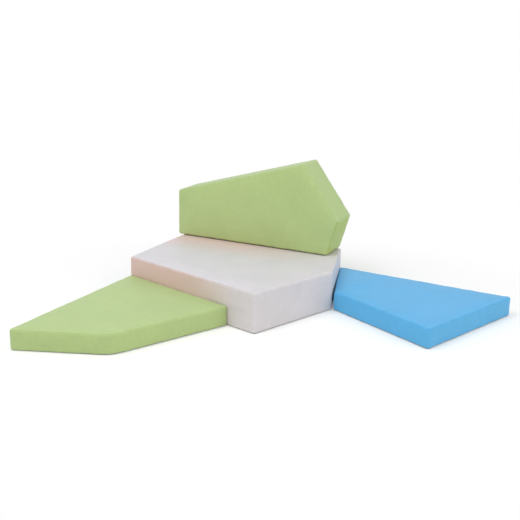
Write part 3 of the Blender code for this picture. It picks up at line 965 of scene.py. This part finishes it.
def addBaseDots(skin):
    corners, name = skin["corners"], skin["name"]
    inner = capPoints(corners, baseDots["pitch"])
    flat = [point for point in inner if insideDistance(corners, point) > baseDots["margin"]]
    paths = [[(x, y, baseDots["height"] + baseDots["sunk"]), (x, y, 0.0)] for x, y in flat]
    radii = baseDots["radius"] * np.array(baseDots["taper"])
    points, faces = tubes(paths, radii, (1.0, 0.0, 0.0), baseDots["sides"])
    meshPiece(name + "_base_dots", points, faces, name, "rubber")

def plug(tree, node, inputs):
    # Links the inputs that are sockets and sets those that are values
    for name, value in inputs.items():
        if isinstance(value, bpy.types.NodeSocket):
            tree.links.new(value, node.inputs[name])
        else:
            node.inputs[name].default_value = value
    return node


def addNode(tree, kind, inputs=None, **settings):
    node = tree.nodes.new("ShaderNode" + kind)
    for name, value in settings.items():
        setattr(node, name, value)
    return plug(tree, node, inputs or {})


def calc(tree, operation, first, second=0.0):
    return addNode(tree, "Math", {0: first, 1: second}, operation=operation).outputs[0]


def times(tree, first, second):
    return calc(tree, "MULTIPLY", first, second)


def plus(tree, first, second):
    return calc(tree, "ADD", first, second)


def ramp(tree, value, low, high, toLow=0.0, toHigh=1.0):
    spans = {"Value": value, "From Min": low, "From Max": high, "To Min": toLow, "To Max": toHigh}
    return addNode(tree, "MapRange", spans, interpolation_type="SMOOTHSTEP").outputs["Result"]


def layered(tree, tone, layers):
    # Lays each colour over the last one by its own share. On a Mix node the colours are inputs
    # 6 and 7, and the result is output 2.
    for share, colour in layers:
        tone = addNode(tree, "Mix", {0: share, 6: tone, 7: colour}, data_type="RGBA").outputs[2]
    return tone


def noise(tree, vector, scale, detail=2.0, roughness=0.5):
    inputs = {"Vector": vector, "Scale": scale, "Detail": detail, "Roughness": roughness}
    return addNode(tree, "TexNoise", inputs).outputs[0]


def cellNoise(tree, feature, vector, scale):
    inputs = {"Vector": vector, "Scale": scale}
    return addNode(tree, "TexVoronoi", inputs, feature=feature).outputs["Distance"]


def vectorMath(tree, operation, first, second):
    return addNode(tree, "VectorMath", {0: first, 1: second}, operation=operation).outputs[0]


def newGroup(name, inputs, outputs):
    # A shader node group with its sockets; returns it with what comes in and its output node
    group = bpy.data.node_groups.new(name, "ShaderNodeTree")
    for title, value in inputs.items():
        kind = "NodeSocketVector" if value is None else "NodeSocketFloat"
        socket = group.interface.new_socket(name=title, in_out="INPUT", socket_type=kind)
        if value is not None:
            socket.default_value = value
    for title in outputs:
        group.interface.new_socket(name=title, in_out="OUTPUT", socket_type="NodeSocketFloat")
    return group, group.nodes.new("NodeGroupInput").outputs, group.nodes.new("NodeGroupOutput")


def leatherGrainGroup():
    # Pebbled grain of a coated cloth: soft cells with creases between them, and finer pores
    tree, start, end = newGroup("leatherGrain", {"Vector": None, "Cells": 700.0}, ["Height", "Crease"])
    place, count = start["Vector"], start["Cells"]
    moved = vectorMath(tree, "ADD", place, times(tree, noise(tree, place, 160.0), 0.0012))
    cells = cellNoise(tree, "DISTANCE_TO_EDGE", moved, count)
    pores = noise(tree, place, times(tree, count, 2.6), 1.0)
    height = plus(tree, ramp(tree, cells, 0.0, 0.45), times(tree, pores, 0.35))
    plug(tree, end, {"Height": height, "Crease": ramp(tree, cells, 0.0, 0.12, 1.0, 0.0)})
    return tree


def softMottleGroup():
    # Slow change of tone over a surface, and patches where hands and shoes have rubbed it
    results = ["Tone", "Rubbed", "Scratches"]
    tree, start, end = newGroup("softMottle", {"Vector": None, "Scale": 7.0}, results)
    place, scale = start["Vector"], start["Scale"]
    broad = noise(tree, place, scale, 3.0)
    close = noise(tree, place, times(tree, scale, 7.0), 2.0)
    both = plus(tree, times(tree, broad, 0.65), times(tree, close, 0.35))
    streaks = noise(tree, vectorMath(tree, "MULTIPLY", place, (30.0, 420.0, 420.0)), 1.0, 1.0)
    crossed = noise(tree, vectorMath(tree, "MULTIPLY", place, (380.0, 26.0, 380.0)), 1.0, 1.0)
    marks = calc(tree, "MAXIMUM", ramp(tree, streaks, 0.66, 0.74), ramp(tree, crossed, 0.68, 0.76))
    scratches = times(tree, marks, ramp(tree, close, 0.45, 0.6))
    tone, rubbed = ramp(tree, both, 0.32, 0.68), ramp(tree, broad, 0.52, 0.72)
    plug(tree, end, {"Tone": tone, "Rubbed": rubbed, "Scratches": scratches})
    return tree


def seamShadeGroup():
    # What a sewn seam does to the cloth beside it: puckers, a dark line in the join that is dirt and
    # painted shade in the seam's groove, and a worn rim
    tree, start, end = newGroup("seamShade", {"Vector": None, "Seam": 1.0}, ["Pucker", "Line", "Wear"])
    place, away = start["Vector"], start["Seam"]
    swell = plus(tree, noise(tree, place, 85.0, 1.0), times(tree, noise(tree, place, 240.0, 1.0), 0.4))
    pucker = times(tree, swell, ramp(tree, away, 0.0005, 0.016, 1.0, 0.0))
    chafed = ramp(tree, noise(tree, place, 38.0, 4.0, 0.65), 0.48, 0.66)
    wear = times(tree, ramp(tree, away, 0.001, 0.009, 1.0, 0.0), chafed)
    plug(tree, end, {"Pucker": pucker, "Line": ramp(tree, away, 0.0, 0.0019, 1.0, 0.0), "Wear": wear})
    return tree


def clothWeaveGroup():
    # Plain weave in the plane of the vector's x and y: warp and weft pass over each other by turns
    tree, start, end = newGroup("clothWeave", {"Vector": None, "Threads": 1200.0}, ["Height", "Gap"])
    flat = addNode(tree, "SeparateXYZ", {0: start["Vector"]}).outputs
    count = [times(tree, flat[axis], start["Threads"]) for axis in (0, 1)]
    wave = [calc(tree, "SINE", times(tree, value, math.pi)) for value in count]
    ridge = [calc(tree, "ABSOLUTE", value) for value in wave]
    parity = [calc(tree, "COSINE", times(tree, calc(tree, "FLOOR", value), math.pi)) for value in count]
    overs = []
    for own, other, sign in ((0, 1, 0.5), (1, 0, -0.5)):
        swing = times(tree, times(tree, wave[other], parity[own]), sign)
        overs.append(times(tree, ridge[own], plus(tree, swing, 0.5)))
    height = calc(tree, "MAXIMUM", *overs)
    plug(tree, end, {"Height": height, "Gap": ramp(tree, height, 0.12, 0.4, 1.0, 0.0)})
    return tree


effects = {
    "grain": leatherGrainGroup(),
    "mottle": softMottleGroup(),
    "seam": seamShadeGroup(),
    "weave": clothWeaveGroup(),
}


def useEffect(tree, effect, **inputs):
    return addNode(tree, "Group", inputs, node_tree=effects[effect]).outputs


def newMaterial(name, settings):
    # Returns the material with its tree, its shader and the place of each point on the piece
    material = bpy.data.materials.new(name)
    material.use_nodes = True
    tree = material.node_tree
    shader = plug(tree, tree.nodes["Principled BSDF"], settings)
    return material, tree, shader, addNode(tree, "TexCoord").outputs["Object"]


def shade(colour, amount=1.0):
    return (*(min(channel * amount, 1.0) for channel in colour), 1.0)


def bump(tree, height, distance, under=None):
    inputs = {"Height": height, "Distance": distance, "Strength": 1.0}
    if under is not None:
        inputs["Normal"] = under
    return addNode(tree, "Bump", inputs).outputs["Normal"]


# The coated cloth of the covers, with colours as linear red, green and blue. The second colour, where
# given, is painted warm light: the tone the cloth takes where that painted light is strongest
leathers = {
    "green": {"colour": (0.480, 0.610, 0.254), "sheen": 0.08, "warm": (0.505, 0.616, 0.165)},
    "grey": {"colour": (0.740, 0.700, 0.716), "sheen": 0.12, "warm": (0.800, 0.530, 0.490)},
    "blue": {"colour": (0.112, 0.474, 0.825), "sheen": 0.05},
}

# Creases, wear and seam lines: how much of each shows, and how light it makes the cloth. The seam line is
# dirt and painted shade in the seam's groove
leatherFinish = {
    "roughness": 0.46,
    "rubbedRoughness": 0.55,
    "wornRoughness": 0.12,
    "specular": 0.38,
    "sheenRoughness": 0.35,
    "sheenTint": (0.70, 0.86, 1.0, 1.0),
    "cells": 1050.0,
    "patches": 6.0,
    "tones": (0.965, 1.03),
    "crease": (0.09, 0.62),
    "wear": (0.30, 1.22),
    "seamGrimeAndShade": (0.22, 0.60),
    "grainDepth": 0.00007,
    "puckerDepth": 0.0009,
    "threadTone": 0.86,
}


def leatherMaterial(name):
    spec, finish = leathers[name], leatherFinish
    settings = {"Specular IOR Level": finish["specular"], "Sheen Weight": spec["sheen"]}
    settings.update({"Sheen Roughness": finish["sheenRoughness"], "Sheen Tint": finish["sheenTint"]})
    material, tree, shader, place = newMaterial(name + "_leatherette", settings)
    seamAway = addNode(tree, "Attribute", attribute_name="seam").outputs["Fac"]
    grain = useEffect(tree, "grain", Vector=place, Cells=finish["cells"])
    mottle = useEffect(tree, "mottle", Vector=place, Scale=finish["patches"])
    seam = useEffect(tree, "seam", Vector=place, Seam=seamAway)
    darker, lighter = (shade(spec["colour"], amount) for amount in finish["tones"])
    layers = [(mottle["Tone"], lighter)]
    if "warm" in spec:
        # Painted warm light: places of this cloth take a warmer tone, by the share of painted light stored
        # at the cover's points
        paintedLightShare = addNode(tree, "Attribute", attribute_name="warmth").outputs["Fac"]
        layers.append((paintedLightShare, shade(spec["warm"])))
    # The seam line darkens the cloth in the seam's groove: dirt and painted shade
    for mask, key in ((grain["Crease"], "crease"), (seam["Wear"], "wear"), (seam["Line"], "seamGrimeAndShade")):
        share, amount = finish[key]
        layers.append((times(tree, mask, share), shade(spec["colour"], amount)))
    rubbed = ramp(tree, mottle["Rubbed"], 0.0, 1.0, finish["roughness"], finish["rubbedRoughness"])
    worn = times(tree, plus(tree, seam["Wear"], mottle["Scratches"]), finish["wornRoughness"])
    pucker = bump(tree, seam["Pucker"], finish["puckerDepth"])
    surface = bump(tree, grain["Height"], finish["grainDepth"], pucker)
    tone = layered(tree, darker, layers)
    plug(tree, shader, {"Base Color": tone, "Roughness": plus(tree, rubbed, worn), "Normal": surface})
    return material


# Woven cloths: the tape takes its weave from its own coordinates, the base from its place
weaves = {
    "tape": {"colour": (0.33, 0.34, 0.35), "threads": 1500.0, "sheen": 0.2, "depth": 0.00012},
    "base": {"colour": (0.15, 0.16, 0.17), "threads": 900.0, "sheen": 0.15, "depth": 0.00018},
}
wovenFinish = {
    "tones": (0.88, 1.1, 0.45),
    "gapShare": 0.6,
    "patches": 25.0,
    "roughness": (0.78, 0.9),
    "sheenRoughness": 0.5,
    "fuzz": 2600.0,
    "fuzzShare": 0.3,
}


def wovenMaterial(name, spec, coordinates=None):
    finish = wovenFinish
    settings = {"Sheen Weight": spec["sheen"], "Sheen Roughness": finish["sheenRoughness"]}
    material, tree, shader, place = newMaterial(name, settings)
    flat = addNode(tree, "UVMap", uv_map=coordinates).outputs["UV"] if coordinates else place
    weave = useEffect(tree, "weave", Vector=flat, Threads=spec["threads"])
    mottle = useEffect(tree, "mottle", Vector=place, Scale=finish["patches"])
    darker, lighter, gaps = (shade(spec["colour"], amount) for amount in finish["tones"])
    inGaps = times(tree, weave["Gap"], finish["gapShare"])
    tone = layered(tree, darker, [(mottle["Tone"], lighter), (inGaps, gaps)])
    rough = ramp(tree, mottle["Tone"], 0.0, 1.0, *finish["roughness"])
    fuzz = times(tree, noise(tree, place, finish["fuzz"]), finish["fuzzShare"])
    height = plus(tree, weave["Height"], fuzz)
    surface = bump(tree, height, spec["depth"])
    plug(tree, shader, {"Base Color": tone, "Roughness": rough, "Normal": surface})
    return material


# Metal, nylon, thread and rubber: scales of two noises, change of tone, and depth of the surface
finishes = {
    "metal": {"patches": 90.0, "fine": 1800.0, "contrast": 0.05, "roughness": 0.27, "depth": 0.00001},
    "coil": {"patches": 60.0, "fine": 3000.0, "contrast": 0.08, "roughness": 0.38, "depth": 0.00002},
    "nylon": {"patches": 40.0, "fine": 2400.0, "contrast": 0.07, "roughness": 0.55, "depth": 0.00006},
    "thread": {"patches": 80.0, "fine": 5200.0, "contrast": 0.12, "roughness": 0.62, "depth": 0.00006},
    "rubber": {"patches": 30.0, "fine": 900.0, "contrast": 0.10, "roughness": 0.68, "depth": 0.00004},
}
pitTone = 0.5
roughnessSpread = 0.05
scratchRoughness = 0.15


def mouldedMaterial(name, colour, finish, metallic=0.0):
    spec = finishes[finish]
    contrast, roughness = spec["contrast"], spec["roughness"]
    material, tree, shader, place = newMaterial(name, {"Metallic": metallic})
    mottle = useEffect(tree, "mottle", Vector=place, Scale=spec["patches"])
    fine = noise(tree, place, spec["fine"], 3.0)
    darker, lighter, pits = (shade(colour, amount) for amount in (1 - contrast, 1 + contrast, pitTone))
    inPits = ramp(tree, fine, 0.35, 0.2, 0.0, contrast * 2)
    tone = layered(tree, darker, [(mottle["Tone"], lighter), (inPits, pits)])
    low, high = roughness - roughnessSpread, roughness + roughnessSpread
    rough = ramp(tree, mottle["Tone"], 0.0, 1.0, low, high)
    rough = plus(tree, rough, times(tree, mottle["Scratches"], scratchRoughness))
    plug(tree, shader, {"Base Color": tone, "Roughness": rough, "Normal": bump(tree, fine, spec["depth"])})
    return material


foamFinish = {
    "colour": (0.84, 0.79, 0.60),
    "tones": (0.93, 1.04, 0.6),
    "poreShare": 0.5,
    "cells": 900.0,
    "patches": 9.0,
    "roughness": 0.95,
    "specular": 0.2,
    "depth": 0.0005,
}


def foamMaterial(spec):
    settings = {"Roughness": spec["roughness"], "Specular IOR Level": spec["specular"]}
    material, tree, shader, place = newMaterial("foam", settings)
    cells = cellNoise(tree, "SMOOTH_F1", place, spec["cells"])
    mottle = useEffect(tree, "mottle", Vector=place, Scale=spec["patches"])
    darker, lighter, pores = (shade(spec["colour"], amount) for amount in spec["tones"])
    inPores = ramp(tree, cells, 0.35, 0.1, 0.0, spec["poreShare"])
    tone = layered(tree, darker, [(mottle["Tone"], lighter), (inPores, pores)])
    plug(tree, shader, {"Base Color": tone, "Normal": bump(tree, cells, spec["depth"])})
    return material


materials = {
    "metal": mouldedMaterial("zip_nickel", (0.40, 0.395, 0.385), "metal", 1.0),
    "coil": mouldedMaterial("coil_nylon", (0.30, 0.31, 0.32), "coil"),
    "nylon": mouldedMaterial("strip_nylon", (0.72, 0.72, 0.70), "nylon"),
    "stripThread": mouldedMaterial("strip_thread", (0.66, 0.66, 0.65), "thread"),
    "rubber": mouldedMaterial("dot_rubber", (0.07, 0.075, 0.08), "rubber"),
    "tape": wovenMaterial("zip_tape_cloth", weaves["tape"], "weave"),
    "base": wovenMaterial("base_cloth", weaves["base"]),
    "foam": foamMaterial(foamFinish),
}
slots = {
    "metal": "zip_metal",
    "coil": "zip_tape",
    "nylon": "hook_and_loop",
    "stripThread": "hook_and_loop",
    "rubber": "anti_slip_base",
    "tape": "zip_tape",
    "base": "anti_slip_base",
    "foam": "foam",
}
for name, spec in leathers.items():
    threadColour = [leatherFinish["threadTone"] * channel for channel in spec["colour"]]
    materials[name] = leatherMaterial(name)
    materials[name + "Thread"] = mouldedMaterial(name + "_thread", threadColour, "thread")
    slots[name] = slots[name + "Thread"] = name + "_leatherette"
print("Finishes mixed:", len(bpy.data.materials))


# Where warm light is painted into the cloth's colour: along the seat's left wall, on its top in front of
# the back, where it fades towards the right, and on the back's lower right side, by the way its surface
# faces
paintedWarmLightPlaces = {
    "wall": 0.85,
    "wallFade": (0.40, 0.98),
    "top": 0.78,
    "topReach": 0.34,
    "topFade": (0.35, 1.05),
    "depth": 0.012,
    "facingRight": (0.4, 0.8),
    "facingDown": (0.1, -0.1),
}


def warmth(skin):
    # How much painted warm light tints the cloth at each point, from 0 to 1
    world, normals, depth = skin["world"], skin["normals"], paintedWarmLightPlaces["depth"]
    if skin["name"] == "back":
        toRight = smooth(normals[:, 0], *paintedWarmLightPlaces["facingRight"])
        return toRight * smooth(normals[:, 2], *paintedWarmLightPlaces["facingDown"])
    if skin["name"] != "seat":
        return np.zeros(len(world))
    _, out, face, _, _ = seatWalls()[0]
    onWall = smooth(world @ out, face - depth, face)
    forward = np.cross(out, (0, 0, 1))
    run = world @ (forward * np.sign(-forward[1]))
    wall = run[onWall > 0.5]
    part = (run - wall.min()) / (wall.max() - wall.min())
    onWall *= 1 - smooth(part, *paintedWarmLightPlaces["wallFade"])
    (left, front, _), (right, _, _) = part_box("back_front_panel")
    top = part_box("seat_top_panel")[1].z
    onTop = smooth(world[:, 2], top - depth, top) * smooth(world[:, 1], front - paintedWarmLightPlaces["topReach"], front)
    onTop *= 1 - smooth((world[:, 0] - left) / (right - left), *paintedWarmLightPlaces["topFade"])
    return np.maximum(onWall * paintedWarmLightPlaces["wall"], onTop * paintedWarmLightPlaces["top"])


skins = [cushionSkin(name) for name in cushions]
for skin in skins:
    print("Skin:", skin["name"], len(skin["corners"]), "corners,", len(skin["points"]), "points")
clothShapes = inflated(skins)
for skin, moved in zip(skins, clothShapes):
    reach = np.linalg.norm(moved - skin["points"], axis=1)
    print("Cloth:", skin["name"], "moved up to", round(reach.max() * 1000, 1), "mm")
    skin["world"] = settle(skin, moved)
    skin["normals"] = skinNormals(skin, skin["world"])
    # Painted warm light: where the cloth's colour is warmed to stand in for warm light
    skin["warmth"] = warmth(skin)
for skin in skins:
    spec = cushions[skin["name"]]
    panelPiece(skin, "upper", spec["upper"].split("_")[0], spec["upper"], spec["leather"])
    panelPiece(skin, "band", "side", "side_band", spec["leather"])
    if spec["onFloor"]:
        panelPiece(skin, "zipBand", "zip_side", "zip_band", spec["leather"])
        panelPiece(skin, "lower", "base", "base_panel", "base")
        addBaseDots(skin)
    else:
        panelPiece(skin, "lower", "rear", "rear_panel", spec["leather"])
    foamPiece(skin)
print("Cushions sewn")
for skin in skins:
    addZip(skin)
print("Zips fitted")
for side in ("left", "right"):
    addHookStrip("back_hook_strip_" + side)
    addLoopStrip("seat_loop_strip_" + side)
print("Strips sewn on")

cameraView = {
    "lens": 63.68,
    "sensor": 36,
    "fromSeatCorner": (2.6008, -4.5912, 1.527),
    "heading": 25.534,
    "downward": 16.09,
    "roll": 1.407,
}


def addCamera():
    data = bpy.data.cameras.new("photo_camera")
    data.lens = cameraView["lens"]
    data.sensor_width = cameraView["sensor"]
    camera = linked("photo_camera", data)
    turn = Matrix.Rotation(math.radians(cameraView["heading"]), 4, "Z")
    tilt = Matrix.Rotation(math.radians(90 - cameraView["downward"]), 4, "X")
    roll = Matrix.Rotation(math.radians(cameraView["roll"]), 4, "Z")
    seatLow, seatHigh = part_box("seat_side_band")
    place = Vector((seatLow.x, seatHigh.y, 0)) + Vector(cameraView["fromSeatCorner"])
    camera.matrix_world = Matrix.Translation(place) @ turn @ tilt @ roll
    bpy.context.scene.camera = camera


studio = {
    "ambient": 0.62,
    "above": (0.94, 0.99, 1.08, 1.0),
    "level": (1.03, 1.0, 0.93, 1.0),
    "floorAlbedo": (0.87, 0.86, 0.83, 1.0),
    "floorSize": 40,
    "floorLift": 0.21,
    "floorDrop": 0.0003,
    "whiteFrom": 1.05,
    "whiteTo": 1.9,
    "lampAim": (0, 0, 0.2),
}
lamps = {
    "key": {"place": (-0.9, -1.8, 3.9), "size": 2.6, "watts": 68, "colour": (0.985, 0.99, 1.0)},
    "fill": {"place": (3.6, -0.5, 2.2), "size": 2.6, "watts": 34, "colour": (1.0, 0.98, 0.91)},
}
white = (1.0, 1.0, 1.0, 1.0)


def cameraMask(tree):
    # 1 for what the camera sees directly, in a reflection or through glass
    path = addNode(tree, "LightPath").outputs
    seen = calc(tree, "MAXIMUM", path["Is Camera Ray"], path["Is Glossy Ray"])
    return calc(tree, "MAXIMUM", seen, path["Is Transmission Ray"])


def addWorld():
    # White where the camera sees it; as light it is a little cooler from above than from the sides
    world = bpy.data.worlds.new("studio")
    bpy.context.scene.world = world
    world.use_nodes = True
    tree = world.node_tree
    mask = cameraMask(tree)
    direction = addNode(tree, "TexCoord").outputs["Generated"]
    height = addNode(tree, "SeparateXYZ", {0: direction}).outputs["Z"]
    layers = [(ramp(tree, height, 0.0, 0.9), studio["above"]), (mask, white)]
    colour = layered(tree, studio["level"], layers)
    strength = ramp(tree, mask, 0.0, 1.0, studio["ambient"], 1.0)
    plug(tree, tree.nodes["Background"], {"Color": colour, "Strength": strength})


def floorMaterial():
    # Pale round the object, and plain white further out where the camera sees it
    settings = {"Base Color": studio["floorAlbedo"], "Roughness": 0.9, "Specular IOR Level": 0.0}
    material, tree, shader, place = newMaterial("studio_floor", {**settings, "Emission Color": white})
    mask = cameraMask(tree)
    plug(tree, shader, {"Emission Strength": times(tree, mask, studio["floorLift"])})
    distance = addNode(tree, "VectorMath", {0: place}, operation="LENGTH").outputs["Value"]
    far = times(tree, ramp(tree, distance, studio["whiteFrom"], studio["whiteTo"]), mask)
    blank = addNode(tree, "Emission", {"Strength": 1.0}).outputs[0]
    surface = addNode(tree, "MixShader", {0: far, 1: shader.outputs[0], 2: blank}).outputs[0]
    plug(tree, tree.nodes["Material Output"], {"Surface": surface})
    return material


def addFloor():
    mesh = bmesh.new()
    bmesh.ops.create_grid(mesh, x_segments=2, y_segments=2, size=studio["floorSize"])
    data = bpy.data.meshes.new("studio_floor")
    mesh.to_mesh(data)
    mesh.free()
    data.materials.append(floorMaterial())
    floor = linked("studio_floor", data)
    floor.location.z = -studio["floorDrop"]


def addLamps():
    for name, spec in lamps.items():
        data = bpy.data.lights.new(name, "AREA")
        data.size = spec["size"]
        data.energy = spec["watts"]
        data.color = spec["colour"]
        aim = Vector(studio["lampAim"]) - Vector(spec["place"])
        turn = aim.to_track_quat("-Z", "Y").to_matrix().to_4x4()
        linked(name, data).matrix_world = Matrix.Translation(spec["place"]) @ turn


addCamera()
addWorld()
addFloor()
addLamps()
bpy.context.scene.view_settings.view_transform = "Standard"
print("Studio ready")
